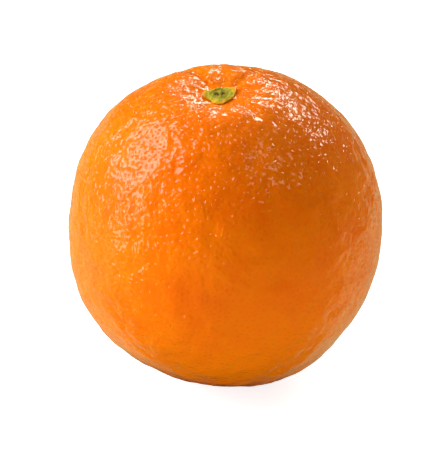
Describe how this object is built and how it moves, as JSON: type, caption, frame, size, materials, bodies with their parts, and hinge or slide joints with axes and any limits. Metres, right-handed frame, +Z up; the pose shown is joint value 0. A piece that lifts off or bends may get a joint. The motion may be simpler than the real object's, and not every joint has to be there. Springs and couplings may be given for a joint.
{
  "type": "orange",
  "caption": "Whole fresh orange, round with a pitted waxy peel, a green button in a shallow basin at the stem end and a small flat spot at the other end to stand on.",
  "frame": {"origin": "middle of the small flat spot at the blossom end, on which the orange stands", "axes": "+Z up from the flat spot along the fruit's axis towards the stem end, -Y towards the front, +X to the right seen from the front"},
  "size_m": [0.0801, 0.0798, 0.0814],
  "materials": {
    "peel": "satin",
    "green_button": "matte",
    "stalk_end": "matte"
  },
  "bodies": {
    "root": {"fruit": "peel", "calyx": "green_button", "stem_stub": "stalk_end"}
  },
  "joints": []
}
